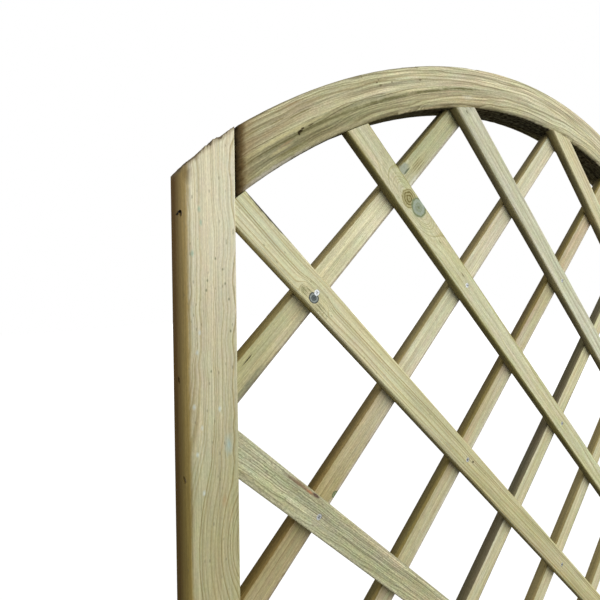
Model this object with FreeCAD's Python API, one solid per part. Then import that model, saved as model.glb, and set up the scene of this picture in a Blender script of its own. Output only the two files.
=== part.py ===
import FreeCAD, Part
import math
import os

# Arched garden trellis panel of treated softwood: two stiles, a bottom rail, an arch rail bent from two glued
# layers, and a diagonal lattice of slats nailed inside the frame.
# Millimetres. X runs across the panel, Y from the front (-Y) to the back, Z up.
# The origin is on the ground, at the middle of the panel's width and depth.

# Whole panel
panel_width = 900.0
crown_height = 1800.0

# Stiles: square posts, well rounded on the outer side, almost sharp on the inner side
stile_width = 44.0
stile_depth = 44.0
stile_outer_round = 8.0
stile_inner_round = 1.5

# Arch rail and bottom rail, a little thinner than the stiles
rail_depth = 42.0
rail_round = 5.0
arch_radius = 691.0
layer_thickness = 24.0
arch_end_round = 7.0
bottom_rail_height = 44.0

# Stub tenon on each end of the bottom rail, and the room it has in its mortise
tenon_thickness = 14.0
tenon_height = 28.0
tenon_length = 24.0
tenon_side_room = 0.2
tenon_end_room = 0.8

# Lattice: slats at 45 degrees, two layers face to face
slat_width = 30.0
slat_thickness = 12.0
slat_round = 3.0
crossing_step = 108.4       # from one crossing to the next, straight across and straight up
first_crossing_drop = 119.0  # from the arch's underside down to the top crossing on the centre line
lattice_set_back = 1.5      # the front slats lie this far behind the stiles' front
shortest_slat = 40.0        # a corner piece shorter than this along its middle is left out

# Crossing screws: small countersunk screws with a cross recess
screw_diameter = 3.0
screw_length = 21.0
screw_head_diameter = 6.0
screw_head_height = 1.9
screw_rim = 0.4
screw_sunk = 0.3
screw_tip = 3.0
recess_span = 3.4
recess_width = 0.8
recess_depth = 1.1
crossing_margin = 30.0      # a crossing nearer the frame than this is held by its slats' end nails

# Nails through the frame into the slat ends
nail_diameter = 3.0
nail_head_diameter = 6.0
nail_head_height = 1.0
nail_sunk = 1.2             # heads are punched below the surface
nail_grip = 24.0            # length of nail inside the slat
nail_tip = 4.0

# Glued dowels between the arch rail's ends and the stiles
dowel_diameter = 10.0
dowel_length = 36.0
dowel_spacing = 20.0
dowel_rise = 28.0           # above the lower corner of the arch rail's end
dowel_chamfer = 1.0

# Screws through the stiles into the bottom rail's ends, behind its tenons
rail_screw_diameter = 4.5
rail_screw_length = 80.0
rail_screw_head_diameter = 9.0
rail_screw_head_height = 3.0
rail_screw_rim = 0.6
rail_screw_tip = 5.0
rail_recess_span = 5.0
rail_recess_width = 1.2
rail_recess_depth = 1.8
rail_screw_back = 11.0      # behind the middle of the depth, clear of the nails

# Worked out from the sizes above
across = FreeCAD.Vector(1, 0, 0)
inward = FreeCAD.Vector(0, 1, 0)
upward = FreeCAD.Vector(0, 0, 1)
half_width = panel_width / 2
half_opening = half_width - stile_width
stile_front = -stile_depth / 2
arch_thickness = 2 * layer_thickness
inner_radius = arch_radius - arch_thickness
seam_radius = arch_radius - layer_thickness
arch_centre_z = crown_height - arch_radius
underside_z = arch_centre_z + inner_radius
front_slat_y = stile_front + lattice_set_back + slat_thickness / 2
first_crossing_z = underside_z - first_crossing_drop
slat_step = 2 * crossing_step
spare = 10.0                # how far cutting shapes run past what they cut
same = 1e-6                 # lengths closer than this count as equal


def arch_z(radius, x):
    return arch_centre_z + math.sqrt(radius ** 2 - x ** 2)


arch_foot_z = arch_z(inner_radius, half_opening)
stile_inner_top = arch_z(arch_radius, half_opening)
stile_outer_top = arch_z(arch_radius, half_width)


def in_plane(x, z, y=0.0):
    return FreeCAD.Vector(x, y, z)


def aimed(shape, base, direction):
    # A shape drawn along +Z from the origin, set at a point and turned to a direction
    turned = shape.copy()
    turned.Placement = FreeCAD.Placement(base, FreeCAD.Rotation(upward, direction))
    return turned


def mirrored(shape):
    return shape.mirror(FreeCAD.Vector(0, 0, 0), across)


def edges_along(shape, axis, test):
    # Straight edges that run along an axis and whose middle passes a test
    picked = []
    for edge in shape.Edges:
        first, last = edge.Vertexes[0].Point, edge.Vertexes[-1].Point
        run = last - first
        if run.Length > 0 and abs(abs(run.dot(axis)) - run.Length) < same:
            if test((first + last) * 0.5):
                picked.append(edge)
    return picked


def turned_profile(points):
    # A solid of revolution round Z from (radius, height) points, starting and ending on the axis
    outline = Part.makePolygon([FreeCAD.Vector(r, 0, h) for r, h in points + points[:1]])
    return Part.Face(outline).revolve(FreeCAD.Vector(0, 0, 0), upward, 360)


def cross_recess(span, width, depth):
    first = Part.makeBox(span, width, 2 * depth, FreeCAD.Vector(-span / 2, -width / 2, -depth))
    second = Part.makeBox(width, span, 2 * depth, FreeCAD.Vector(-width / 2, -span / 2, -depth))
    return first.fuse(second)


def countersunk(diameter, length, head_diameter, head_height, rim, tip):
    # Screw body along +Z, the head's face at the origin
    return turned_profile([
        (0, 0),
        (head_diameter / 2, 0),
        (head_diameter / 2, rim),
        (diameter / 2, head_height),
        (diameter / 2, length - tip),
        (0, length),
    ])


def nail_body(length):
    # Nail along +Z, the head's face at the origin
    return turned_profile([
        (0, 0),
        (nail_head_diameter / 2, 0),
        (nail_head_diameter / 2, nail_head_height),
        (nail_diameter / 2, nail_head_height),
        (nail_diameter / 2, length - nail_tip),
        (0, length),
    ])


def with_entry(body, head_diameter):
    # The hole that a driven fastener leaves: its body and the way in for its head
    entry = Part.makeCylinder(head_diameter / 2, spare, FreeCAD.Vector(0, 0, -spare))
    return body.fuse(entry).removeSplitter()


def opening_prism():
    # The space inside the frame, through the whole depth
    y = -stile_depth
    corner_left = in_plane(-half_opening, bottom_rail_height, y)
    corner_right = in_plane(half_opening, bottom_rail_height, y)
    foot_left = in_plane(-half_opening, arch_foot_z, y)
    foot_right = in_plane(half_opening, arch_foot_z, y)
    crown = in_plane(0, underside_z, y)
    outline = Part.Wire([
        Part.makeLine(corner_left, corner_right),
        Part.makeLine(corner_right, foot_right),
        Part.Arc(foot_right, crown, foot_left).toShape(),
        Part.makeLine(foot_left, corner_left),
    ])
    return Part.Face(outline).extrude(inward * (2 * stile_depth))


def slat_limits(height):
    # Ends of the middle line of a slat that crosses the centre line at this height and falls to the right:
    # for each end the point and the direction out of the opening there
    reach = height - arch_centre_z
    spread = max(2 * inner_radius ** 2 - reach ** 2, 0)
    upper = max(-half_opening, (reach - math.sqrt(spread)) / 2)
    if upper > -half_opening:
        outward = in_plane(upper, height - upper - arch_centre_z).normalize()
    else:
        outward = -across
    lower = min(half_opening, height - bottom_rail_height)
    down = across if lower == half_opening else -upward
    return [(in_plane(upper, height - upper), outward), (in_plane(lower, height - lower), down)]


def slat_heights():
    # Heights on the centre line of all slats long enough to be fitted, from the arch down
    lowest = bottom_rail_height - half_opening
    highest = arch_centre_z + math.sqrt(2) * inner_radius
    first = math.ceil((lowest - first_crossing_z) / slat_step)
    last = math.floor((highest - first_crossing_z) / slat_step)
    heights = []
    for index in range(last, first - 1, -1):
        height = first_crossing_z + index * slat_step
        upper, lower = [end for end, outward in slat_limits(height)]
        if lower.x > upper.x and (lower - upper).Length > shortest_slat:
            heights.append(height)
    return heights


def front_slat(height, opening):
    length = panel_width + crown_height
    bar = Part.makeBox(length, slat_thickness, slat_width,
                       FreeCAD.Vector(-length / 2, -slat_thickness / 2, -slat_width / 2))
    bar = bar.makeFillet(slat_round, edges_along(bar, across, lambda middle: True))
    bar.Placement = FreeCAD.Placement(in_plane(0, height, front_slat_y), FreeCAD.Rotation(inward, 45))
    return bar.common(opening)


def nail_line(end, outward, along):
    # A nail crosses the slat's middle line half way along its grip, so that it stays inside the slat
    aim = -outward
    middle = end + along * (nail_grip / 2 / along.dot(aim))
    return middle - aim * (nail_grip / 2), aim


def slat_nails(height):
    # For both ends of a front slat: the piece of frame it is nailed through, and the nail and its hole
    ends = slat_limits(height)
    placed = []
    for index, (end, outward) in enumerate(ends):
        along = (ends[1 - index][0] - end).normalize()
        foot, aim = nail_line(end, outward, along)
        if abs(outward.x) == 1.0:
            frame, outer = ("left" if outward.x < 0 else "right"), half_width - abs(foot.x)
        elif outward.z == -1.0:
            frame, outer = "bottom", foot.z
        else:
            frame = "arch"
            from_centre = foot - in_plane(0, arch_centre_z)
            towards = from_centre.dot(outward)
            outer = math.sqrt(towards ** 2 + arch_radius ** 2 - from_centre.Length ** 2) - towards
        head = foot - aim * (outer - nail_sunk)
        head.y = front_slat_y
        body = nail_body(outer - nail_sunk + nail_grip)
        hole = with_entry(body, nail_head_diameter)
        placed.append((frame, aimed(body, head, aim), aimed(hole, head, aim)))
    return placed


def to_back(shape):
    # The back layer is the front layer seen in a mirror, one slat thickness further in
    moved = mirrored(shape)
    moved.translate(inward * slat_thickness)
    return moved


def crossings(heights):
    # Middles of the crossings that lie clear inside the frame, and whether the screw's head is in front:
    # that alternates from row to row
    found = []
    for number, falling in enumerate(heights):
        for other, rising in enumerate(heights):
            x = (falling - rising) / 2
            z = (falling + rising) / 2
            between = abs(x) < half_opening - crossing_margin and z > bottom_rail_height + crossing_margin
            from_axis = math.hypot(x, z - arch_centre_z)
            if between and (z < arch_centre_z or from_axis < inner_radius - crossing_margin):
                found.append((falling, rising, in_plane(x, z), (number + other) % 2 == 1))
    return found


def stile_blank():
    outline = Part.makePolygon([
        in_plane(-half_width, 0, stile_front),
        in_plane(-half_opening, 0, stile_front),
        in_plane(-half_opening, stile_inner_top, stile_front),
        in_plane(-half_width, stile_outer_top, stile_front),
        in_plane(-half_width, 0, stile_front),
    ])
    post = Part.Face(outline).extrude(inward * stile_depth)
    outer_edges = edges_along(post, upward, lambda middle: middle.x < same - half_width)
    post = post.makeFillet(stile_outer_round, outer_edges)
    inner_edges = edges_along(post, upward, lambda middle: middle.x > -half_opening - same)
    return post.makeFillet(stile_inner_round, inner_edges)


def arch_layer(low, high, rounded_radius):
    # One bent board: its section swept round the arch's axis and cut off upright against the stiles, with the
    # upright arrises of its ends rounded
    corners = [
        FreeCAD.Vector(0, -rail_depth / 2, arch_centre_z + low),
        FreeCAD.Vector(0, rail_depth / 2, arch_centre_z + low),
        FreeCAD.Vector(0, rail_depth / 2, arch_centre_z + high),
        FreeCAD.Vector(0, -rail_depth / 2, arch_centre_z + high),
    ]
    axis_point = in_plane(0, arch_centre_z)
    half_sweep = math.degrees(math.asin(half_width / inner_radius))
    section = Part.Face(Part.makePolygon(corners + corners[:1]))
    section.rotate(axis_point, inward, -half_sweep)
    ring = section.revolve(axis_point, inward, 2 * half_sweep)
    edges = [edge for edge in ring.Edges if isinstance(edge.Curve, Part.Circle)
             and abs(edge.Curve.Radius - rounded_radius) < same]
    ring = ring.makeFillet(rail_round, edges)
    block = Part.makeBox(2 * half_opening, rail_depth, 2 * crown_height,
                         FreeCAD.Vector(-half_opening, -rail_depth / 2, 0))
    block = block.makeFillet(arch_end_round, edges_along(block, upward, lambda middle: True))
    return ring.common(block)


def bottom_rail_blank():
    bar = Part.makeBox(2 * half_opening, rail_depth, bottom_rail_height,
                       FreeCAD.Vector(-half_opening, -rail_depth / 2, 0))
    bar = bar.makeFillet(rail_round, edges_along(bar, across, lambda middle: True))
    reach = half_opening + tenon_length
    tenon_z = (bottom_rail_height - tenon_height) / 2
    tenon = Part.makeBox(2 * reach, tenon_thickness, tenon_height,
                         FreeCAD.Vector(-reach, -tenon_thickness / 2, tenon_z))
    return bar.fuse(tenon).removeSplitter()


def mortise():
    depth = tenon_length + tenon_end_room
    thickness = tenon_thickness + 2 * tenon_side_room
    height = tenon_height + 2 * tenon_side_room
    corner = FreeCAD.Vector(-half_opening - depth, -thickness / 2, (bottom_rail_height - height) / 2)
    return Part.makeBox(depth + spare, thickness, height, corner)


def dowel():
    plain = Part.makeCylinder(dowel_diameter / 2, dowel_length)
    rims = [edge for edge in plain.Edges if isinstance(edge.Curve, Part.Circle)]
    return plain.makeChamfer(dowel_chamfer, rims)


def cut_all(shape, tools):
    return shape.cut(Part.makeCompound(tools)) if tools else shape


def write(name, shapes):
    solids = [solid for shape in shapes for solid in shape.Solids]
    node = solids[0] if len(solids) == 1 else Part.makeCompound(solids)
    node.exportStep(os.path.join("parts", name + ".step"))


os.makedirs("parts", exist_ok=True)
opening = opening_prism()
heights = slat_heights()

# Crossing screws, and the holes they make in the two slats of each crossing
screw_body = countersunk(screw_diameter, screw_length, screw_head_diameter,
                         screw_head_height, screw_rim, screw_tip)
screw = screw_body.cut(cross_recess(recess_span, recess_width, recess_depth))
screw_hole = with_entry(screw_body, screw_head_diameter)
front_head_y = front_slat_y - slat_thickness / 2 + screw_sunk
back_head_y = front_slat_y + 3 * slat_thickness / 2 - screw_sunk
screws = []
front_holes = {height: [] for height in heights}
back_holes = {height: [] for height in heights}
for falling, rising, middle, from_front in crossings(heights):
    middle.y = front_head_y if from_front else back_head_y
    aim = inward if from_front else -inward
    screws.append(aimed(screw, middle, aim))
    hole = aimed(screw_hole, middle, aim)
    front_holes[falling].append(hole)
    back_holes[rising].append(hole)

# Nails at the slat ends, sorted by the piece of frame they go through
nails = {"left": [], "right": [], "arch": [], "bottom": []}
nail_holes = {"left": [], "right": [], "arch": [], "bottom": []}
other_side = {"left": "right", "right": "left", "arch": "arch", "bottom": "bottom"}
for height in heights:
    for frame, nail, hole in slat_nails(height):
        nails[frame].append(nail)
        nail_holes[frame].append(hole)
        front_holes[height].append(hole)
        nails[other_side[frame]].append(to_back(nail))
        nail_holes[other_side[frame]].append(to_back(hole))
        back_holes[height].append(to_back(hole))

# Slats
for index, height in enumerate(heights):
    plain = front_slat(height, opening)
    label = "%02d" % (index + 1)
    write("front_slat_" + label, [cut_all(plain, front_holes[height])])
    write("back_slat_" + label, [cut_all(to_back(plain), back_holes[height])])

# Dowels in the arch rail's ends
dowel_z = arch_foot_z + dowel_rise
dowel_x = -half_opening - dowel_length / 2
left_dowels = []
for side in (-1, 1):
    left_dowels.append(aimed(dowel(), in_plane(dowel_x, dowel_z, side * dowel_spacing / 2), across))
right_dowels = [mirrored(shape) for shape in left_dowels]

# Screws into the bottom rail
rail_screw_body = countersunk(rail_screw_diameter, rail_screw_length, rail_screw_head_diameter,
                              rail_screw_head_height, rail_screw_rim, rail_screw_tip)
rail_screw = rail_screw_body.cut(cross_recess(rail_recess_span, rail_recess_width, rail_recess_depth))
rail_screw_at = in_plane(-half_width, bottom_rail_height / 2, rail_screw_back)
left_rail_screw = aimed(rail_screw, rail_screw_at, across)
left_rail_hole = aimed(with_entry(rail_screw_body, rail_screw_head_diameter), rail_screw_at, across)

# Frame
stile = stile_blank().cut(mortise())
left_holes = nail_holes["left"] + nail_holes["arch"] + left_dowels + [left_rail_hole]
right_holes = nail_holes["right"] + nail_holes["arch"] + right_dowels + [mirrored(left_rail_hole)]
left_stile = cut_all(stile, left_holes)
right_stile = cut_all(mirrored(stile), right_holes)
arch_holes = nail_holes["arch"] + left_dowels + right_dowels
outer_layer = cut_all(arch_layer(seam_radius, arch_radius, arch_radius), arch_holes)
inner_layer = cut_all(arch_layer(inner_radius, seam_radius, inner_radius), arch_holes)
rail = cut_all(bottom_rail_blank(), nail_holes["bottom"] + [left_rail_hole, mirrored(left_rail_hole)])

write("left_stile", [left_stile])
write("right_stile", [right_stile])
write("arch_outer_layer", [outer_layer])
write("arch_inner_layer", [inner_layer])
write("bottom_rail", [rail])
write("crossing_screws", screws)
write("left_stile_nails", nails["left"])
write("right_stile_nails", nails["right"])
write("arch_nails", nails["arch"])
write("rail_nails", nails["bottom"])
write("arch_dowels", left_dowels + right_dowels)
write("rail_screws", [left_rail_screw, mirrored(left_rail_screw)])
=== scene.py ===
import math
import random
import bmesh
import bpy
from mathutils import Matrix, Vector, noise


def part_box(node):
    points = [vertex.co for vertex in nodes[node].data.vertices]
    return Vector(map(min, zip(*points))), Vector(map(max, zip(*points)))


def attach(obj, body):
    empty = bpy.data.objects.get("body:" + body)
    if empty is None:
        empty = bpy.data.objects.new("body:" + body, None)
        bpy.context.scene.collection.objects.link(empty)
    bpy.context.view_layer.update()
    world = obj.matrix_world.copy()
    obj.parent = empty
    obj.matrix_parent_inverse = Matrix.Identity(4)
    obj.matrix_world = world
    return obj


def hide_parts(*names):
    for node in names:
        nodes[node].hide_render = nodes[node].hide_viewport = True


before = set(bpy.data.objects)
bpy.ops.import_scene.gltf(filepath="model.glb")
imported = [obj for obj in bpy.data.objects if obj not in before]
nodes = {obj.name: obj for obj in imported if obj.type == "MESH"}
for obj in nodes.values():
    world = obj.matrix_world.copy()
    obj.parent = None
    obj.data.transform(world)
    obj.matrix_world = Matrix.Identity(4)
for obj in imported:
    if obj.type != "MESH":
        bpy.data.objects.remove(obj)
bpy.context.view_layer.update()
scene = bpy.context.scene
mm = 1000       # in a metre
weld = 1e-6     # metres: points nearer than this are one point
print("frame loaded:", len(nodes), "nodes")


def linear(hexColour):   # sRGB hex to linear RGBA
    channels = [int(hexColour[start:start + 2], 16) / 255 for start in (1, 3, 5)]
    return [c / 12.92 if c <= 0.04045 else ((c + 0.055) / 1.055) ** 2.4 for c in channels] + [1.0]


def addNode(tree, kind, inputs=(), out=0, stops=(), **settings):   # out None gives the node itself
    made = tree.nodes.new("ShaderNode" + kind)
    for key, value in settings.items():
        setattr(made, key, value)
    for key, value in (inputs.items() if isinstance(inputs, dict) else enumerate(inputs)):
        if isinstance(value, bpy.types.NodeSocket):
            tree.links.new(value, made.inputs[key])
        else:
            made.inputs[key].default_value = value
    if stops:
        elements = made.color_ramp.elements
        while len(elements) < len(stops):
            elements.new(0.5)
        for element, (position, level) in zip(elements, stops):
            element.position = position
            element.color = (level, level, level, 1.0)
    return made if out is None else made.outputs[out]


# A Mix node for colours has its factor at socket 0, the colours at 6 and 7 and the result at 2
colourMix = {"out": 2, "data_type": "RGBA"}


def newMaterial(name):
    material = bpy.data.materials.new(name)
    material.use_nodes = True
    material.node_tree.nodes.clear()
    return material, material.node_tree


# Pressure-treated pine, planed: pale spring wood and darker summer wood in growth rings, fine fibres along
# the grain, a green tinge from the treatment and pinkish heartwood. Dull all over. Sizes are in mm.
# A knot has its place across and along the grain and its radius, and where it shows, two colours and rings.
# A stain is (across, along, half width, half length, colour, amount, softness), on the front face unless
# a depth and half depth follow; the stains hold real marks and also painted shade and painted highlights.
# A band is (direction in x and z, start, run, colour, amount), and where its start follows a torn edge,
# that edge's half width, greatest height and stops. A fade is painted shade, darker towards one end of the
# piece: (start along, end along, colour).
commonPine = {
    "early": "#cfc9a3",         # spring wood
    "late": "#a09060",          # summer wood
    "lateAmount": 0.62,
    "flush": "#c9b48e",         # heartwood
    "flushAmount": 0.45,
    "tinge": "#bcc195",         # left by the treatment
    "tingeAmount": 0.5,
    "bloom": "#d6d6c4",         # dried salts
    "bloomAmount": 0.3,
    "edge": "#b9af7e",          # narrow sides take up more of the treatment,
    "side": "#6d5f36",          # and painted shade darkens them away from the front
    "edgeAmount": 0.85,
    "edgeStart": 13.4,          # from the middle of the face to where the side's colour begins
    "edgeBlend": 1.2,           # width of the change
    "edgeDepth": (1.0, 9.0),    # behind the front face, where the painted shade on the side begins and is darkest
    "edgeSide": 0,              # on both sides, or only towards minus or plus
    "ring": 3.8,                # width of a year's growth
    "pith": (-40.0, 40.0),      # centre of the tree, across the face and behind it
    "lean": (0.4, 0.5),         # degrees between the tree's centre and the piece, in those two directions
    "wander": 5.0,              # how far the grain sways
    "wanderRun": 260.0,         # over this length
    "streakAmount": 0.4,
    "fibreAmount": 0.6,
    "dapple": 0.15,             # small differences of colour
    "fuzz": 0.5,                # raised fibres
    "speckShare": 0.08,         # share of places with a dark speck
    "sheen": 0.05,              # planed wood reflects very little
    "knots": [],
    "stains": [],
    "bands": [],
    "fades": [],
    "seed": 1,
}
pineGrain = {
    "noises": {                         # width, length and detail
        "mottle": (22.0, 130.0, 3),     # patches of heartwood, tinge and salts
        "streak": (3.2, 170.0, 2),
        "fibre": (0.9, 60.0, 3),        # drawn coarser than real so that it shows
        "ragged": (3.0, 7.5, 2),        # edges of stains
        "dapple": (7.0, 13.0, 3),
        "fuzz": (1.0, 3.2, 2),          # drawn coarser than real so that it shows
    },
    "sway": (50.0, 2),                  # width and detail
    "noiseRoughness": 0.6,
    "noiseSpan": (0.25, 0.75),          # the part of a noise's range that is used
    "seedStep": (7.31, 3.17, 5.23),     # moves the noises from piece to piece
    "yearNoise": {"Scale": 0.55, "Detail": 1.0},    # wide and narrow years come in runs
    "yearShift": 1.6,
    "yearStrength": (0.65, 0.35),       # how much the years differ in darkness, and the palest
    "summer": [(0, 0), (0.45, 0.12), (0.82, 1), (0.92, 0.9), (1, 0)],   # darkness through one year
    "patchSpan": (0.42, 0.64),          # where a patch begins and is full
    "lineShade": (0.42, 0.3),           # streaks and fibres darken and brighten by this much
    "fuzzShade": 0.36,
    "edgeRagged": 1.5,
    "edgeLead": 0.3,                    # share of the change that lies before its start
    "speck": (2.0, 5.0),                # one place for a speck
    "speckRadius": 0.42,                # of that place
    "speckRagged": 0.2,
    "speckBlend": 0.1,
    "speckColour": "#75735a",
    "speckAmount": 0.5,
    "stainRagged": 0.8,
    "stainDepth": 6.0,                  # below the front face
    "bandRagged": 5.0,
    "knotLength": 1.2,                  # knots are a little longer along the grain
    "knotReach": 1.8,                   # and bend the rings out to this many radii
    "knotPull": 2.4,                    # drawn out along the grain
    "knotFall": 0.45,                   # how slowly the rings straighten
    "knotBlend": 5.0,                   # rings that bend round a knot
    "knotRagged": 0.3,
    "knotRim": (1.1, 0.95),             # radii where a knot begins and covers fully
    "relief": 0.00025,                  # metres of bump
    "reliefStrength": 0.7,
    "summerRelief": 0.5,                # height of summer wood where the fibres' is 1
    "roughness": (0.9, 0.78),           # of spring and summer wood
    "ior": 1.45,
}


def grainCoordinates(tree, place):   # across the face, into the depth and along the grain, in mm
    spot = addNode(tree, "TexCoord", out="Object")
    if "axis" not in place:
        return addNode(tree, "Mapping", {"Vector": spot, "Location": place["move"], "Scale": (mm, mm, mm),
                                         "Rotation": (0, place["turn"], 0)})
    fromAxis = addNode(tree, "VectorMath", (spot, place["axis"]), operation="SUBTRACT")
    inPlane = addNode(tree, "VectorMath", (fromAxis, (mm, 0, mm)), operation="MULTIPLY")
    radius = addNode(tree, "VectorMath", (inPlane,), out="Value", operation="LENGTH")
    x, y, z = addNode(tree, "SeparateXYZ", (fromAxis,), out=None).outputs
    angle = addNode(tree, "Math", (x, z), operation="ARCTAN2")
    across = addNode(tree, "Math", (radius, place["middle"]), operation="SUBTRACT")
    depth = addNode(tree, "Math", (y, mm), operation="MULTIPLY")
    along = addNode(tree, "Math", (angle, place["middle"]), operation="MULTIPLY")
    return addNode(tree, "CombineXYZ", (across, depth, along))


def grainNoises(tree, spot, look):   # drawn out along the grain
    noises = {}
    shift = [look["seed"] * step for step in pineGrain["seedStep"]]
    swayWidth, swayDetail = pineGrain["sway"]
    sizes = {**pineGrain["noises"], "sway": (swayWidth, look["wanderRun"], swayDetail)}
    for use, (width, length, detail) in sizes.items():
        at = addNode(tree, "Mapping", {"Vector": spot, "Location": shift,
                                       "Scale": (1 / width, 1 / width, 1 / length)})
        noises[use] = addNode(tree, "TexNoise", {"Vector": at, "Scale": 1.0, "Detail": detail,
                                                 "Roughness": pineGrain["noiseRoughness"]}, out=None)
    return noises


def growthRings(tree, spot, look, noises, front):   # how much summer wood there is at each point
    sway = addNode(tree, "VectorMath", (noises["sway"].outputs["Color"], (0.5,) * 3), operation="SUBTRACT")
    bent = addNode(tree, "VectorMath", (sway, (2 * look["wander"], 2 * look["wander"], 0), spot),
                   operation="MULTIPLY_ADD")
    leanAcross, leanBack = (math.radians(angle) for angle in look["lean"])
    pithAcross, pithBack = look["pith"]
    stem = addNode(tree, "Mapping", {"Vector": bent, "Location": (-pithAcross, -pithBack, 0),
                                     "Rotation": (leanBack, leanAcross, 0)})
    level = addNode(tree, "VectorMath", (stem, (1 / look["ring"], 1 / look["ring"], 0)), operation="MULTIPLY")
    age = addNode(tree, "VectorMath", (level,), out="Value", operation="LENGTH")
    for knot in look["knots"]:   # the rings bend round them
        side, far = knot["at"]
        away = addNode(tree, "VectorMath", (spot, (side, 0, far)), operation="SUBTRACT")
        bend = knot["radius"] * pineGrain["knotReach"]
        pulled = (1 / bend, 0, 1 / bend / pineGrain["knotPull"])
        near = addNode(tree, "VectorMath", (away, pulled), operation="MULTIPLY")
        reach = addNode(tree, "VectorMath", (near,), out="Value", operation="LENGTH")
        slow = addNode(tree, "Math", (reach, pineGrain["knotFall"]), operation="POWER")
        stemAge = math.hypot(side + far * math.sin(leanAcross) - pithAcross,
                             far * math.sin(leanBack) + pithBack - front) / look["ring"]
        branch = addNode(tree, "Math", (slow, stemAge), operation="MULTIPLY")
        age = addNode(tree, "Math", (age, branch, pineGrain["knotBlend"]), operation="SMOOTH_MIN")
    uneven = addNode(tree, "TexNoise", {"W": age, **pineGrain["yearNoise"]}, noise_dimensions="1D")
    years = addNode(tree, "Math", (uneven, pineGrain["yearShift"], age), operation="MULTIPLY_ADD")
    phase = addNode(tree, "Math", (years,), operation="FRACT")
    summer = addNode(tree, "ValToRGB", (phase,), stops=pineGrain["summer"])
    year = addNode(tree, "Math", (years,), operation="FLOOR")
    strength = addNode(tree, "TexWhiteNoise", {"W": year}, noise_dimensions="1D")
    strength = addNode(tree, "Math", (strength, *pineGrain["yearStrength"]), operation="MULTIPLY_ADD")
    return addNode(tree, "Math", (summer, strength), operation="MULTIPLY")


def planedWood(tree, look, noises, summer):   # spring wood with its patches, then summer wood
    colour = linear(look["early"])
    low, high = pineGrain["patchSpan"]
    patches = addNode(tree, "SeparateColor", (noises["mottle"].outputs["Color"],), out=None)
    for patch, channel in (("flush", "Red"), ("tinge", "Green"), ("bloom", "Blue")):
        cover = addNode(tree, "MapRange", {"Value": patches.outputs[channel], "From Min": low,
                                           "From Max": high, "To Max": look[patch + "Amount"]})
        colour = addNode(tree, "Mix", {0: cover, 6: colour, 7: linear(look[patch])}, **colourMix)
    cover = addNode(tree, "Math", (summer, look["lateAmount"]), operation="MULTIPLY")
    colour = addNode(tree, "Mix", {0: cover, 6: colour, 7: linear(look["late"])}, **colourMix)
    dappled = (noises["dapple"].outputs["Color"], (look["dapple"],) * 3, (1 - look["dapple"] / 2,) * 3)
    shade = addNode(tree, "VectorMath", dappled, operation="MULTIPLY_ADD")
    return addNode(tree, "VectorMath", (colour, shade), operation="MULTIPLY")


def withShadedSides(tree, colour, look, spot, noises, front):   # narrow sides, with painted shade darkening them away from the front
    across, depth = addNode(tree, "SeparateXYZ", (spot,), out=None).outputs[:2]
    if look["edgeSide"]:
        outwards = addNode(tree, "Math", (across, look["edgeSide"]), operation="MULTIPLY")
    else:
        outwards = addNode(tree, "Math", (across,), operation="ABSOLUTE")
    ragged = pineGrain["edgeRagged"]
    loose = addNode(tree, "Math", (noises["ragged"].outputs["Fac"], ragged, outwards),
                    operation="MULTIPLY_ADD")
    begin = look["edgeStart"] + ragged / 2 - pineGrain["edgeLead"] * look["edgeBlend"]
    cover = addNode(tree, "MapRange", {"Value": loose, "From Min": begin,
                                       "From Max": begin + look["edgeBlend"], "To Max": look["edgeAmount"]})
    shallow, deep = look["edgeDepth"]
    behind = addNode(tree, "MapRange", {"Value": depth, "From Min": front + shallow,
                                        "From Max": front + deep})
    sideColourAndShade = addNode(tree, "Mix", {0: behind, 6: linear(look["edge"]), 7: linear(look["side"])}, **colourMix)
    return addNode(tree, "Mix", {0: cover, 6: colour, 7: sideColourAndShade}, **colourMix)


def withFibres(tree, colour, look, spot, noises):   # streaks and fibres all over, then fades of painted shade along the piece
    low, high = pineGrain["noiseSpan"]
    darken, brighten = pineGrain["lineShade"]
    for use in ("streak", "fibre"):
        amount = look[use + "Amount"]
        shade = addNode(tree, "MapRange", {"Value": noises[use].outputs["Fac"],
                                           "From Min": low, "From Max": high,
                                           "To Min": 1 - darken * amount, "To Max": 1 + brighten * amount})
        colour = addNode(tree, "VectorMath", (colour, shade), operation="MULTIPLY")
    along = addNode(tree, "SeparateXYZ", (spot,), out="Z")
    for begin, end, tint in look["fades"]:
        cover = addNode(tree, "MapRange", {"Value": along, "From Min": begin, "From Max": end})
        colour = addNode(tree, "Mix", {0: cover, 6: colour, 7: linear(tint)}, blend_type="MULTIPLY",
                         **colourMix)
    return colour


def withSpecks(tree, colour, look, spot, noises):   # small dark specks, one at most in each place
    width, length = pineGrain["speck"]
    blend = pineGrain["speckBlend"]
    shift = [look["seed"] * step for step in pineGrain["seedStep"]]
    at = addNode(tree, "Mapping", {"Vector": spot, "Location": shift,
                                   "Scale": (1 / width, 1 / width, 1 / length)})
    cells = addNode(tree, "TexVoronoi", {"Vector": at, "Scale": 1.0}, out=None)
    chance = addNode(tree, "SeparateColor", (cells.outputs["Color"],), out=None)
    chosen = addNode(tree, "Math", (chance.outputs["Red"], look["speckShare"]), operation="LESS_THAN")
    size = addNode(tree, "Math", (chance.outputs["Green"], pineGrain["speckRadius"]), operation="MULTIPLY")
    loose = (noises["ragged"].outputs["Fac"], pineGrain["speckRagged"], cells.outputs["Distance"])
    loose = addNode(tree, "Math", loose, operation="MULTIPLY_ADD")
    inside = addNode(tree, "Math", (size, loose), operation="SUBTRACT")
    cover = addNode(tree, "MapRange", {"Value": inside, "From Min": -blend, "From Max": blend,
                                       "To Max": pineGrain["speckAmount"]})
    cover = addNode(tree, "Math", (cover, chosen), operation="MULTIPLY")
    return addNode(tree, "Mix", {0: cover, 6: colour, 7: linear(pineGrain["speckColour"])}, **colourMix)


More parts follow.
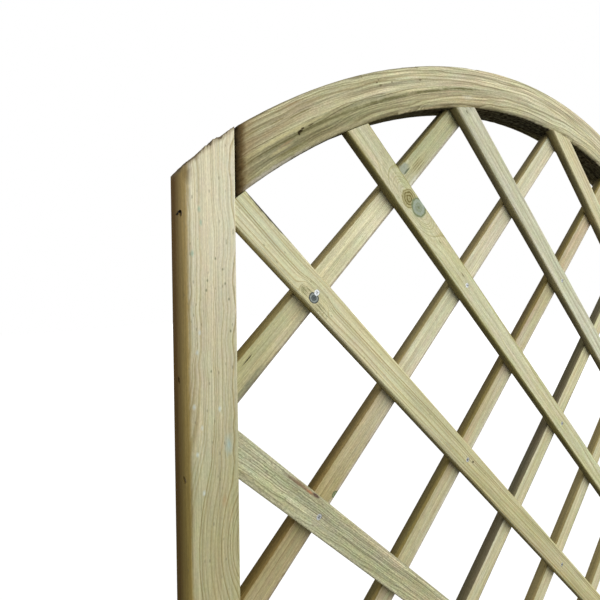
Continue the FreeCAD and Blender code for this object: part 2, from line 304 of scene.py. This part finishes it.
def withStainsAndShade(tree, colour, look, spot, noises, front):   # patches with ragged edges: real stains, painted shade and painted highlights
    ragged = pineGrain["stainRagged"]
    rim = 1 + ragged / 2
    for side, far, halfWidth, halfLength, stain, amount, softness, *ownDepth in look["stains"]:
        inward, halfDepth = ownDepth or (front, pineGrain["stainDepth"])
        away = addNode(tree, "VectorMath", (spot, (side, inward, far)), operation="SUBTRACT")
        near = (1 / halfWidth, 1 / halfDepth, 1 / halfLength)
        near = addNode(tree, "VectorMath", (away, near), operation="MULTIPLY")
        distance = addNode(tree, "VectorMath", (near,), out="Value", operation="LENGTH")
        loose = addNode(tree, "Math", (noises["ragged"].outputs["Fac"], ragged, distance),
                        operation="MULTIPLY_ADD")
        cover = addNode(tree, "MapRange", {"Value": loose, "From Min": rim, "From Max": rim - softness,
                                           "To Max": amount})
        colour = addNode(tree, "Mix", {0: cover, 6: colour, 7: linear(stain)}, **colourMix)
    return colour


def withBands(tree, colour, look, spot, noises):   # darker bands: painted shade at the arch's ends, and darkening below the stiles' sawn tops
    ragged = pineGrain["bandRagged"]
    across = addNode(tree, "SeparateXYZ", (spot,), out="X")
    for (x, z), begin, run, stain, amount, *torn in look["bands"]:
        here = addNode(tree, "TexCoord", out="Object")
        reach = addNode(tree, "VectorMath", (here, (mm * x, 0, mm * z)), out="Value", operation="DOT_PRODUCT")
        if torn:
            width, lift, stops = torn
            part = addNode(tree, "MapRange", {"Value": across, "From Min": -width, "From Max": width})
            level = addNode(tree, "ValToRGB", (part,), stops=stops)
            reach = addNode(tree, "Math", (level, -2 * lift * z, reach), operation="MULTIPLY_ADD")
            begin -= lift * z
        begin += ragged / 2
        loose = addNode(tree, "Math", (noises["ragged"].outputs["Fac"], ragged, reach),
                        operation="MULTIPLY_ADD")
        cover = addNode(tree, "MapRange", {"Value": loose, "From Min": begin, "From Max": begin + run,
                                           "To Max": amount})
        colour = addNode(tree, "Mix", {0: cover, 6: colour, 7: linear(stain)}, **colourMix)
    return colour


def withKnots(tree, colour, look, spot, noises):   # rings of two colours
    ragged = pineGrain["knotRagged"]
    start, full = pineGrain["knotRim"]
    for knot in look["knots"]:
        if "rings" not in knot:
            continue
        side, far = knot["at"]
        away = addNode(tree, "VectorMath", (spot, (side, 0, far)), operation="SUBTRACT")
        near = (1 / knot["radius"], 0, 1 / knot["radius"] / pineGrain["knotLength"])
        near = addNode(tree, "VectorMath", (away, near), operation="MULTIPLY")
        distance = addNode(tree, "VectorMath", (near,), out="Value", operation="LENGTH")
        loose = addNode(tree, "Math", (noises["ragged"].outputs["Fac"], ragged, distance),
                        operation="MULTIPLY_ADD")
        loose = addNode(tree, "Math", (loose, ragged / 2), operation="SUBTRACT")
        pale = addNode(tree, "ValToRGB", (loose,), stops=knot["rings"])
        inner = addNode(tree, "Mix", {0: pale, 6: linear(knot["dark"]), 7: linear(knot["pale"])}, **colourMix)
        cover = addNode(tree, "MapRange", {"Value": loose, "From Min": start, "From Max": full})
        colour = addNode(tree, "Mix", {0: cover, 6: colour, 7: inner}, **colourMix)
    return colour


def pine(name, place, look):
    look = {**commonPine, **look}
    material, tree = newMaterial(name)
    spot = grainCoordinates(tree, place)
    noises = grainNoises(tree, spot, look)
    front = -place["halfDepth"]
    summer = growthRings(tree, spot, look, noises, front)
    colour = planedWood(tree, look, noises, summer)
    colour = withShadedSides(tree, colour, look, spot, noises, front)
    colour = withFibres(tree, colour, look, spot, noises)
    colour = withSpecks(tree, colour, look, spot, noises)
    colour = withStainsAndShade(tree, colour, look, spot, noises, front)
    colour = withBands(tree, colour, look, spot, noises)
    colour = withKnots(tree, colour, look, spot, noises)
    low, high = pineGrain["noiseSpan"]
    fuzz = pineGrain["fuzzShade"] * look["fuzz"]
    shade = addNode(tree, "MapRange", {"Value": noises["fuzz"].outputs["Fac"],
                                       "From Min": low, "From Max": high,
                                       "To Min": 1 - fuzz, "To Max": 1 + fuzz})
    colour = addNode(tree, "VectorMath", (colour, shade), operation="MULTIPLY")
    height = (summer, pineGrain["summerRelief"], noises["fibre"].outputs["Fac"])
    height = addNode(tree, "Math", height, operation="MULTIPLY_ADD")
    relief = addNode(tree, "Bump", {"Height": height, "Distance": pineGrain["relief"],
                                    "Strength": pineGrain["reliefStrength"]})
    springRough, summerRough = pineGrain["roughness"]
    rough = addNode(tree, "MapRange", {"Value": summer, "To Min": springRough, "To Max": summerRough})
    shader = addNode(tree, "BsdfPrincipled", {"Base Color": colour, "Roughness": rough, "Normal": relief,
                                              "IOR": pineGrain["ior"], "Specular IOR Level": look["sheen"]})
    addNode(tree, "OutputMaterial", {"Surface": shader}, out=None)
    return material


# Where a straight piece lies along its grain: slats count from the panel's centre line, stiles from the foot
def straightPlace(name, turn):
    spin = Matrix.Rotation(turn, 3, "Y")
    points = [spin @ vert.co for vert in nodes[name].data.vertices]
    across, depth = (mm / 2 * (min(p[i] for p in points) + max(p[i] for p in points)) for i in (0, 1))
    halfDepth = mm / 2 * (max(p.y for p in points) - min(p.y for p in points))
    start = -abs(across) if turn else 0.0
    return {"turn": turn, "move": (-across, -depth, start), "halfDepth": halfDepth}


def dress(name, material):
    for slot in nodes[name].material_slots:
        slot.material = material


def spots(places, *kind):   # the same stain at several places
    return [(side, far, *kind) for side, far in places]


# Slats: the nearest ones have their own marks, the others are drawn by lot
# a pale strip along one long edge of the back slats: a painted highlight on the lit arris
paleArrisHighlight = (15, 0, 6, 900, "#cfc8ba", 0.9, 0.9)
lattice = {
    "front_slat_02": {
        "early": "#cdcdb4", "late": "#9a9174", "flush": "#c4b8a6", "seed": 3,
        # at the top, a darker patch and three dark spots are painted shade under the arch
        "stains": [(0, 151, 17, 11, "#a3a48a", 0.6, 1.0),
                   *spots([(-9, 165), (0, 159), (9, 153)], 7, 5, "#5c5538", 0.85, 0.7),
                   (-2.8, 150, 1.2, 3.5, "#5d5a48", 0.8, 0.5), (14, 190, 4, 130, "#b5a79a", 0.7, 0.9)],
    },
    "front_slat_03": {
        "early": "#cfcda6", "late": "#978f58", "tinge": "#bdc391", "tingeAmount": 0.7, "seed": 4,
        "edge": "#8f8549", "edgeStart": 12.6, "pith": (30, 55), "ring": 3.4, "wander": 4,
        "knots": [{"at": (1.9, 291.5), "radius": 10.0, "dark": "#675d2c", "pale": "#b7b184",
                   "rings": [(0, 0), (0.16, 0.9), (0.32, 0), (0.47, 0.9), (0.62, 0), (0.78, 1), (0.9, 0.3),
                             (1, 1)]},
                  {"at": (5.8, 275), "radius": 10.0, "dark": "#717950", "pale": "#9ca694",
                   "rings": [(0, 0.2), (0.25, 0.8), (0.4, 0.5), (0.6, 1), (0.78, 0.9), (0.92, 0), (1, 0.4)]}],
        "stains": [(3.1, 224, 0.9, 5, "#6a6040", 0.8, 0.6), (3.6, 168, 1.0, 5, "#6a6040", 0.8, 0.6)],
    },
    "front_slat_04": {
        "early": "#d9d6ad", "late": "#957a40", "seed": 5, "pith": (-62, 30), "ring": 3.2, "wander": 5,
        "flushAmount": 0.25, "lateAmount": 0.85, "fuzz": 0.35, "edge": "#c0b684", "edgeStart": 14.0,
        "knots": [{"at": (-6, 459), "radius": 4.8, "dark": "#353c40", "pale": "#a2aaa3",
                   "rings": [(0, 0.05), (0.3, 0.3), (0.45, 0.1), (0.68, 0.9), (0.82, 0.4), (0.93, 0)]}],
        "stains": [(3.3, 142.6, 1.4, 2.2, "#2c2716", 0.9, 0.5), (-8, 473, 5, 7, "#8a8b62", 0.6, 0.9),
                   (-10, 469, 0.7, 7, "#74734a", 0.7, 0.8), (-7, 471, 0.6, 8, "#74734a", 0.7, 0.8),
                   (-4, 469, 0.8, 5, "#6f6d45", 0.7, 0.6), (-8, 449, 0.8, 5, "#76724a", 0.7, 0.6),
                   (-11.4, 446, 1.6, 14, "#7c7c52", 0.7, 0.9), (-8.6, 443, 0.8, 15, "#6d7152", 0.7, 0.8),
                   (-6.0, 446, 0.7, 11, "#7b7d5a", 0.65, 0.8), (11, 350, 5, 260, "#bfb484", 0.5, 1.0),
                   # the dark line along the upper edge near the top is painted shade
                   (15, 548, 3.4, 40, "#37322a", 0.95, 0.5)],
        "fades": [(330, 130, "#ebe8dc")],
    },
    "front_slat_05": {
        "early": "#bebb93", "late": "#6f6746", "seed": 6, "pith": (-16, -6), "lean": (0.4, 2.0), "ring": 1.7,
        "wander": 2, "wanderRun": 40, "lateAmount": 0.8, "fibreAmount": 1.0, "streakAmount": 0.8, "fuzz": 0.9,
        "speckShare": 0.5, "dapple": 0.25, "edge": "#a3a083", "edgeSide": 1, "edgeAmount": 0.6,
        # the first mark, a pale strip along the lower side, is a painted highlight over its shade
        "stains": [(-14.5, 500, 3.2, 900, "#d3d0ad", 0.8, 0.6), (11.4, 512, 1.8, 16, "#6b5a45", 0.8, 0.8),
                   (12.2, 500, 2.2, 18, "#77624d", 0.8, 0.8), (12.5, 490, 2.4, 24, "#8b7458", 0.7, 0.8),
                   (12.2, 487, 1.6, 6, "#a66d4c", 0.8, 0.8), (13.2, 477, 1.8, 7, "#4f3b35", 0.9, 0.6)],
    },
    "back_slat_01": {
        "early": "#e3deb8", "late": "#b5a87b", "seed": 7, "pith": (-70, 20), "ring": 3.0,
        # the mark after the pale arris is a painted shadow beside front_slat_02 near the top
        "stains": [paleArrisHighlight, (2, -173, 8, 9, "#7d7248", 0.6, 1.0), (-6, -547, 0.7, 8, "#3a331d", 0.9, 0.5),
                   (10.5, -564, 5, 34, "#646a5c", 0.75, 1.0), (2, -256, 10, 24, "#b3aa76", 0.5, 1.0),
                   (11, -276, 4, 14, "#d9dac6", 0.7, 1.0), (-1.5, -256, 0.6, 14, "#665c34", 0.75, 0.6),
                   *spots([(1.2, -259), (4, -257)], 0.6, 18, "#665c34", 0.75, 0.6),
                   (7, -253, 0.6, 14, "#665c34", 0.75, 0.6), (-8, -277, 7, 11, "#9da391", 0.9, 0.5),
                   (-10, -267, 2.5, 4, "#cbc9a8", 0.8, 0.7), (-3, -275, 1.4, 9, "#5a634c", 0.85, 0.6)],
        "fades": [(-430, -540, "#dfdccf"), (-312, -292, "#dce0d8")],
    },
    "back_slat_02": {
        "early": "#d3d0b0", "late": "#ab9a70", "flush": "#cdb89b", "flushAmount": 0.5, "seed": 8,
        "pith": (70, 15), "ring": 3.2, "side": "#5b4e26",
        "knots": [{"at": (12, -435), "radius": 3.0, "dark": "#5d6848", "pale": "#8d9470",
                   "rings": [(0, 0), (0.5, 1), (0.8, 0.3), (1, 0)]}],
        "stains": [paleArrisHighlight], "fades": [(-250, -430, "#dacdb7")],
    },
    "back_slat_03": {
        "early": "#bfb58f", "late": "#a08b65", "flush": "#c1a58a", "flushAmount": 0.7, "seed": 9,
        "pith": (80, 10), "ring": 3.2, "edge": "#76672f", "side": "#473c1a", "stains": [paleArrisHighlight],
    },
    # darker sides: painted shade
    "back_slat_04": {"edge": "#4b402a", "side": "#2e2618"},
}
layers = {   # turn in degrees, the seed before the first slat, and what the layer's slats share
    "front": (45, 20, {}),
    "back": (-45, 40, {"edge": "#857545", "edgeStart": 11.5}),   # painted side shade reaching further round
}
slatLot = {   # lowest and highest
    "pithAcross": (10, 80),   # to either side
    "pithBack": (12, 60),
    "ring": (2.6, 4.2),
    "wander": (3, 9),
    "flushAmount": (0.2, 0.7),
}
latticeDraw = random.Random(12)
for layer, (turn, seed, shared) in layers.items():
    slats = sorted(name for name in nodes if name.startswith(layer + "_slat_"))
    for number, name in enumerate(slats, start=1):
        side = latticeDraw.choice((-1, 1))
        pithAcross, pithBack, ring, wander, flush = (latticeDraw.uniform(*span) for span in slatLot.values())
        drawn = {"seed": seed + number, "pith": (side * pithAcross, pithBack), "ring": ring,
                 "wander": wander, "flushAmount": flush}
        look = {**drawn, **shared, **lattice.get(name, {})}
        dress(name, pine("pine " + name, straightPlace(name, math.radians(turn)), look))
print("slats dressed")

# Bent layers of the arch rail, darker than the slats, with painted shade at the ends and underneath, where it
# is nearly black
archSize = {
    "axisHeight": 1.109,   # metres
    "outer": 679.0,        # mm, from the axis to the middle of each layer
    "inner": 655.0,
    "halfDepth": 21.0,     # mm
}
endPaintedShade = [   # painted shade on the arch's rounded ends, which face away from the light: start from the panel's centre line, run, colour and amount
    (382.0, 14.0, "#8f7a52", 0.5),
    (395.0, 4.4, "#584629", 0.9),
    (399.5, 5.5, "#1a1308", 0.95),
]
archEndShade = [((side, 0), *shade) for shade in endPaintedShade for side in (-1, 1)]
bentBoard = {
    "ring": 2.3, "wander": 6, "wanderRun": 120, "lateAmount": 0.9, "streakAmount": 1.0, "fibreAmount": 0.8,
    "fuzz": 0.6, "speckShare": 0.2, "bands": archEndShade,
}
archLooks = {
    "arch_outer_layer": {
        **bentBoard, "early": "#dcd6b3", "late": "#7d724e", "flush": "#b7a07d", "flushAmount": 0.65,
        "pith": (-58, 22), "lean": (1.1, 0.5), "edge": "#9c9478", "side": "#857a5a", "edgeStart": 10.5,
        "edgeSide": 1, "seed": 11, "fades": [(-220, -430, "#dcd9cb")],
        "stains": [(1.6, -255, 2.4, 65, "#8f815a", 0.65, 0.9), (-6, -395, 4.5, 80, "#96815d", 0.6, 1.0),
                   (7, -366, 1.5, 24, "#8a7550", 0.7, 0.9),
                   *spots([(0.8, -412), (-0.8, -388)], 0.8, 18, "#787046", 0.7, 0.6),
                   (-3.2, -360, 0.9, 20, "#787046", 0.7, 0.6), (0.2, -256, 0.9, 2.2, "#5a4733", 0.8, 0.6),
                   (2.5, -253, 0.8, 1.8, "#5a4733", 0.8, 0.6), (-2.2, -235, 0.9, 2.0, "#5a4733", 0.8, 0.6),
                   *spots([(-3, -252), (-4, -191)], 1.2, 3, "#5c5236", 0.8, 0.6)],
    },
    "arch_inner_layer": {
        **bentBoard, "early": "#d2cca6", "late": "#7d7150", "flush": "#ae9a74", "flushAmount": 0.6,
        # the nearly black underside colour is painted shade
        "pith": (52, 24), "lean": (-1.3, 0.5), "edge": "#7c6d46", "side": "#30281a", "edgeAmount": 0.97,
        "edgeStart": 11.4, "edgeDepth": (1.0, 4.0), "edgeSide": -1, "sheen": 0.0, "seed": 13,
        "fades": [(-130, -345, "#cbc9bb")],
        # pale marks on the lower arris at the left are painted highlights; on the underside, a lighter patch
        # is painted light and a near-black strip is painted shade
        "stains": [(-9.5, -310, 3.2, 80, "#b9b18b", 0.75, 0.9), (5.8, -235, 2.6, 55, "#5f5d3b", 0.85, 0.7),
                   (7.2, -172, 2.4, 50, "#5f5d3b", 0.85, 0.7), (9.4, -118, 2.0, 45, "#5f5d3b", 0.85, 0.7),
                   (5.2, -335, 3.0, 115, "#66623f", 0.75, 0.8), (9.8, -372, 2.2, 70, "#c5bd8d", 0.75, 0.7),
                   (0.2, -385, 1.7, 20, "#bdb486", 0.7, 0.7), (-4.2, -376, 2.2, 26, "#777147", 0.7, 0.8),
                   (2.8, -374, 1.4, 14, "#9c8763", 0.7, 0.8), (6.0, -132, 1.2, 30, "#b39f83", 0.6, 0.8),
                   (-0.7, -107, 4, 18, "#d5d8c4", 0.45, 1.0), (-12, -240, 4, 110, "#6b6445", 0.7, 1.0, 2, 20),
                   (6.3, -356, 1.3, 3.6, "#2a2212", 0.95, 0.5), (4.9, -358.5, 1.9, 1.5, "#2a2212", 0.9, 0.5),
                   (7.8, -352, 1.0, 2.2, "#3a301b", 0.9, 0.5), (7.5, -342, 1.0, 5, "#4b432a", 0.8, 0.6),
                   (-11, -430, 3.5, 105, "#c3bdab", 0.9, 0.6),
                   (-12.8, -335, 1.3, 42, "#171209", 0.95, 0.6, -8, 12)],
    },
}
endCorner = {"round": 5.0, "cuts": 6}   # mm, where the outer layer meets the stiles
smoothBelow = math.radians(30)          # edges that turn less than this are shaded smooth


def mergedCopy(name):
    shape = bmesh.new()
    shape.from_mesh(nodes[name].data)
    bmesh.ops.remove_doubles(shape, verts=shape.verts, dist=weld)
    for face in shape.faces:
        face.material_index = 0
    return shape


def finishedPiece(shape, name, ending, material):
    bmesh.ops.triangulate(shape, faces=shape.faces)
    for edge in shape.edges:
        edge.smooth = edge.calc_face_angle(0) < smoothBelow
    mesh = bpy.data.meshes.new(name + ending)
    shape.to_mesh(mesh)
    shape.free()
    mesh.materials.append(material)
    piece = bpy.data.objects.new(name + ending, mesh)
    scene.collection.objects.link(piece)
    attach(piece, "root")
    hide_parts(name)


def archPlace(middle):
    return {"axis": (0, 0, archSize["axisHeight"]), "middle": middle, "halfDepth": archSize["halfDepth"]}


def roundedArch(name):   # the CAD layer with its upper end corners worn round
    shape = mergedCopy(name)
    low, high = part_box(name)
    reach = (high[0] - low[0]) / 2
    crown = high[2] - archSize["axisHeight"]
    radius = endCorner["round"] / mm
    for side in (-1, 1):
        for cut in range(1, endCorner["cuts"] + 1):
            inward = radius * (cut / endCorner["cuts"]) ** 2
            geometry = [*shape.verts, *shape.edges, *shape.faces]
            bmesh.ops.bisect_plane(shape, geom=geometry, plane_co=(side * (reach - inward), 0, 0),
                                   plane_no=(1, 0, 0), dist=weld)
    for vert in shape.verts:
        inward = reach - abs(vert.co.x)
        if inward < radius:
            drop = radius - math.sqrt(radius ** 2 - (radius - inward) ** 2)
            top = archSize["axisHeight"] + math.sqrt(crown ** 2 - vert.co.x ** 2) - drop
            vert.co.z = min(vert.co.z, top)
    finishedPiece(shape, name, "_rounded",
                  pine("pine " + name, archPlace(archSize["outer"]), archLooks[name]))


roundedArch("arch_outer_layer")
inner = "arch_inner_layer"
dress(inner, pine("pine " + inner, archPlace(archSize["inner"]), archLooks[inner]))
railLook = {"edgeStart": 30, "seed": 15}   # the same colour on all sides
dress("bottom_rail", pine("pine bottom_rail", straightPlace("bottom_rail", math.radians(90)), railLook))
print("arch and bottom rail dressed")

# Stiles: the solids with their sloped tops left rough by the saw. Sizes are in mm.
sawnTop = {
    "band": 50.0,             # the sloped face lies within this much of the top
    "facing": 0.5,            # and points upwards at least this much
    "cuts": (88, 16),         # strips across the face and into the depth
    # from the middle of the face, and height above the cut
    "torn": [(-23, -4.2), (-20, -2.8), (-12, -2.1), (-7.5, -1.6), (-4.6, 0.2), (-3.6, 0.5), (-1.2, -0.3),
             (1.6, -0.6), (2.4, 1.5), (3.4, 1.8), (5.8, 1.1), (9.2, 0), (16, 0.5), (23, 0.9)],
    "tearShare": (0.9, 0.3),  # of that height, and how much the fray changes it
    "fray": 0.35,             # rough all over by this much
    "frayGrain": 1.6,
    "backFall": 0.06,         # the cut falls towards the back by this much per mm
    # darker bands below the cut: start below it, run, colour and amount
    "dirt": [(4.0, 2.8, "#8f8268", 0.75), (1.5, 0.8, "#5f5340", 0.85)],
}
stileLook = {
    "early": "#e3dcc0", "late": "#ab9a6b", "lateAmount": 0.85, "flush": "#dbc49f", "flushAmount": 0.4,
    "tinge": "#cdd0b0", "tingeAmount": 0.35, "bloom": "#e0e0d0", "streakAmount": 0.3, "fuzz": 0.35,
    # the edge and side colours carry painted shade on the narrow sides
    "edge": "#c6ac6e", "side": "#735526", "edgeStart": 17.4, "edgeBlend": 2.4, "edgeAmount": 0.95,
    "edgeDepth": (4.0, 26.0), "speckShare": 0.14, "pith": (42, 1), "lean": (0.25, 0.35), "ring": 1.9,
    "wander": 4, "wanderRun": 60, "seed": 17, "fades": [(1600, 1350, "#d0d1bb")],
    "knots": [{"at": (30, 1312), "radius": 10}],   # beside the face: it only bends the grain
}
leftMarks = [   # a pale patch, green, dark and salty spots, painted shade on the arris below the top corner, and the punched nail's hole drawn as a dark slot of painted shade
    (0, 1590, 28, 85, "#d6cfb1", 0.4, 1.0),
    *spots([(-9, 1597), (-8, 1586), (-15, 1561)], 1.8, 3.5, "#8fb09a", 0.7, 0.9),
    *spots([(4, 1557), (10, 1548), (-3, 1539), (-4, 1531), (12, 1536), (15, 1523), (16, 1496), (-1, 1464)],
           1.0, 1.7, "#6c7356", 0.75, 0.7),
    *spots([(-10, 1497), (-12, 1481), (-15, 1437), (6, 1432), (-9, 1419), (-13, 1398), (-8, 1365)],
           1.7, 3.0, "#cad8d4", 0.75, 1.1),
    (13, 1400, 4.5, 12, "#a3b8b0", 0.8, 1.0), (9, 1354, 3.5, 7, "#b0936b", 0.6, 1.0),
    # painted shade: on the arris below the top corner, then two in the punched nail's hole
    (-18, 1625, 5, 10, "#6b5737", 0.6, 0.9), (-22, 1595.3, 3, 1.4, "#17110a", 1.0, 0.5, -11.5, 6.5),
    (-22, 1593.9, 3, 1.4, "#17110a", 1.0, 0.5, -5.5, 6.5),
]


def tornHeight(across):
    for (start, low), (end, high) in zip(sawnTop["torn"], sawnTop["torn"][1:]):
        if start <= across < end:
            return low + (high - low) * (across - start) / (end - start)
    return 0.0


def cutInStrips(shape, top, low, high):   # the top as a grid of small faces
    for axis, cuts in zip((0, 1), sawnTop["cuts"]):
        for cut in range(1, cuts):
            at = (low + high) / 2
            at[axis] = low[axis] + (high[axis] - low[axis]) * cut / cuts
            facing = Vector((0, 0, 0))
            facing[axis] = 1
            geometry = list(dict.fromkeys(part for face in top for part in [face, *face.edges, *face.verts]))
            result = bmesh.ops.bisect_plane(shape, geom=geometry, plane_co=at, plane_no=facing, dist=weld)
            top = [part for part in result["geom"] if isinstance(part, bmesh.types.BMFace)]
    return top


def cutEdgeBands(slope, slopeAt, side):   # darker bands along the torn edge of the cut
    torn = sawnTop["torn"]
    lift = max(abs(height) for across, height in torn)
    half = torn[-1][0]
    stops = sorted((0.5 - side * across / half / 2, 0.5 + height / lift / 2) for across, height in torn)
    towards = (slope.x, slope.z)
    return [(towards, slopeAt - below, *shade, half, lift, stops) for below, *shade in sawnTop["dirt"]]


def sawnStile(name, side):
    shape = mergedCopy(name)
    low, high = (Vector(corner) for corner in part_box(name))
    topFrom = high.z - sawnTop["band"] / mm
    top = [face for face in shape.faces
           if face.normal.z > sawnTop["facing"] and face.calc_center_median().z > topFrom]
    slope = top[0].normal.copy()
    slopeAt = mm * slope.dot(top[0].calc_center_median())
    top = cutInStrips(shape, bmesh.ops.dissolve_faces(shape, faces=top)["region"], low, high)
    share, uneven = sawnTop["tearShare"]
    for vert in {vert for face in top for vert in face.verts}:
        across = -side * (vert.co.x - (low.x + high.x) / 2) * mm
        fray = noise.noise(vert.co * mm / sawnTop["frayGrain"])
        vert.co.z += (tornHeight(across) * (share + uneven * fray) + sawnTop["fray"] * fray) / mm
        vert.co.z -= sawnTop["backFall"] * (vert.co.y - low.y)
    look = {**stileLook, "edgeSide": side, "bands": cutEdgeBands(slope, slopeAt, side),
            "stains": leftMarks if side < 0 else []}
    finishedPiece(shape, name, "_sawn",
                  pine("pine " + name, straightPlace(name, 0.0), look))


for name, side in (("left_stile", -1), ("right_stile", 1)):
    sawnStile(name, side)
print("stiles made")

# Galvanised steel: bright zinc with a fine grey spangle, slightly dulled
zincCoat = {
    "spangle": 900.0,         # grains to the metre, about 1.1 mm each
    "detail": 2.0,
    "span": (0.3, 0.7),
    "shade": (0.75, 1.1),
    "dulling": (0.08, 0.12),  # smoother and rougher than the roughness given
}


def galvanised(name, colour, rough):
    material, tree = newMaterial(name)
    spot = addNode(tree, "TexCoord", out="Object")
    spangle = addNode(tree, "TexNoise", {"Vector": spot, "Scale": zincCoat["spangle"],
                                         "Detail": zincCoat["detail"]})
    low, high = zincCoat["span"]
    dark, bright = zincCoat["shade"]
    shade = addNode(tree, "MapRange", {"Value": spangle, "From Min": low, "From Max": high,
                                       "To Min": dark, "To Max": bright})
    tone = addNode(tree, "VectorMath", (linear(colour)[:3], shade), operation="MULTIPLY")
    less, more = zincCoat["dulling"]
    dull = addNode(tree, "MapRange", {"Value": spangle, "To Min": rough - less, "To Max": rough + more})
    shader = addNode(tree, "BsdfPrincipled", {"Base Color": tone, "Metallic": 1.0, "Roughness": dull})
    addNode(tree, "OutputMaterial", {"Surface": shader}, out=None)
    return material


screwSteel = galvanised("galvanised steel", "#a3a6a6", 0.4)
nailSteel = galvanised("dull galvanised steel", "#655639", 0.6)   # browned by the wood
for name in ("crossing_screws", "rail_screws"):
    dress(name, screwSteel)
for name in ("left_stile_nails", "right_stile_nails", "arch_nails", "rail_nails"):
    dress(name, nailSteel)
dowelLook = {   # beech: warmer than the pine, with fine rings and short dark flecks
    "early": "#d9b98c", "late": "#b58f5f", "flush": "#d2ab7b", "ring": 1.5, "speckShare": 0.4,
    "edgeStart": 999,   # the same colour all round
}
dress("arch_dowels", pine("beech dowels", straightPlace("arch_dowels", math.radians(90)), dowelLook))
print("fasteners dressed")


def seenDirectly(tree):   # 1 to the camera and in reflections and clear pieces, 0 as light on the object
    path = addNode(tree, "LightPath", out=None).outputs
    seen = addNode(tree, "Math", (path["Is Camera Ray"], path["Is Glossy Ray"]), operation="MAXIMUM")
    return addNode(tree, "Math", (seen, path["Is Transmission Ray"]), operation="MAXIMUM")


# Floor: pale, white to the eye but for the object's shadow; it throws little light back on the object
floorLook = {
    "size": 12.0,            # metres, as is the glow's run
    "glow": (0.58, 1.0),     # near the object and far away
    "glowRun": (0.9, 6.0),
    "seen": "#a6a6a6",
    "unseen": "#515151",     # as light on the object
}
floorMesh = bpy.data.meshes.new("floor")
shape = bmesh.new()
bmesh.ops.create_grid(shape, x_segments=1, y_segments=1, size=floorLook["size"])
shape.to_mesh(floorMesh)
shape.free()
floor = bpy.data.objects.new("floor", floorMesh)
scene.collection.objects.link(floor)
material, tree = newMaterial("pale floor")
seen = seenDirectly(tree)
spot = addNode(tree, "TexCoord", out="Object")
far = addNode(tree, "VectorMath", (spot,), out="Value", operation="LENGTH")
runStart, runEnd = floorLook["glowRun"]
glowNear, glowFar = floorLook["glow"]
glow = addNode(tree, "MapRange", {"Value": far, "From Min": runStart, "From Max": runEnd,
                                  "To Min": glowNear, "To Max": glowFar})
glow = addNode(tree, "Math", (glow, seen), operation="MULTIPLY")
light = addNode(tree, "Emission", {"Color": (1, 1, 1, 1), "Strength": glow})
shade = addNode(tree, "Mix", {0: seen, 6: linear(floorLook["unseen"]), 7: linear(floorLook["seen"])},
                **colourMix)
matt = addNode(tree, "BsdfDiffuse", {"Color": shade})
both = addNode(tree, "AddShader", (light, matt))
addNode(tree, "OutputMaterial", {"Surface": both}, out=None)
floorMesh.materials.append(material)

# Light: a soft key from the upper right, a weaker one behind, a low even surround
lightLook = {   # metres and watts
    "aim": (-0.15, 0.0, 1.35),
    "key": {"towards": (0.46, -0.8, 0.4), "far": 3.0, "size": 4.0, "power": 103},
    "behind": {"towards": (0.55, 0.75, 0.45), "far": 2.4, "size": 1.6, "power": 45},
    "surround": 0.6,
}
for name in ("key", "behind"):
    look = lightLook[name]
    lamp = bpy.data.lights.new(name, "AREA")
    lamp.shape = "DISK"
    lamp.size = look["size"]
    lamp.energy = look["power"]
    holder = bpy.data.objects.new(name, lamp)
    towards = Vector(look["towards"]).normalized()
    holder.location = Vector(lightLook["aim"]) + towards * look["far"]
    holder.rotation_euler = towards.to_track_quat("Z", "Y").to_euler()
    scene.collection.objects.link(holder)
world = bpy.data.worlds.new("studio")
scene.world = world
world.use_nodes = True
tree = world.node_tree
tree.nodes.clear()
seen = seenDirectly(tree)
level = addNode(tree, "MapRange", {"Value": seen, "To Min": lightLook["surround"], "To Max": 1.0})
sky = addNode(tree, "Background", {"Color": (1, 1, 1, 1), "Strength": level})
addNode(tree, "OutputWorld", {"Surface": sky}, out=None)

# Camera: as the photograph was taken
cameraLook = {
    "location": (-0.54254, -0.37571, 1.55021),
    "turn": 33.777,                # degrees to the right of straight on
    "down": 1.055,
    "roll": -0.505,
    "focal": 435.812,              # pixels, as are the next two
    "centre": (334.524, 273.73),
    "frame": 600,
    "sensor": 36.0,
    "near": 0.01,
}
camera = bpy.data.cameras.new("camera")
camera.sensor_width = cameraLook["sensor"]
camera.lens = cameraLook["focal"] * cameraLook["sensor"] / cameraLook["frame"]
camera.shift_x = 0.5 - cameraLook["centre"][0] / cameraLook["frame"]
camera.shift_y = cameraLook["centre"][1] / cameraLook["frame"] - 0.5
camera.clip_start = cameraLook["near"]
viewer = bpy.data.objects.new("camera", camera)
viewer.location = cameraLook["location"]
pose = Matrix.Rotation(-math.radians(cameraLook["turn"]), 4, "Z")
pose = pose @ Matrix.Rotation(math.radians(90 - cameraLook["down"]), 4, "X")
pose = pose @ Matrix.Rotation(math.radians(cameraLook["roll"]), 4, "Z")
viewer.rotation_euler = pose.to_euler()
scene.collection.objects.link(viewer)
scene.camera = viewer
scene.view_settings.view_transform = "Standard"
print("floor, light and camera set")
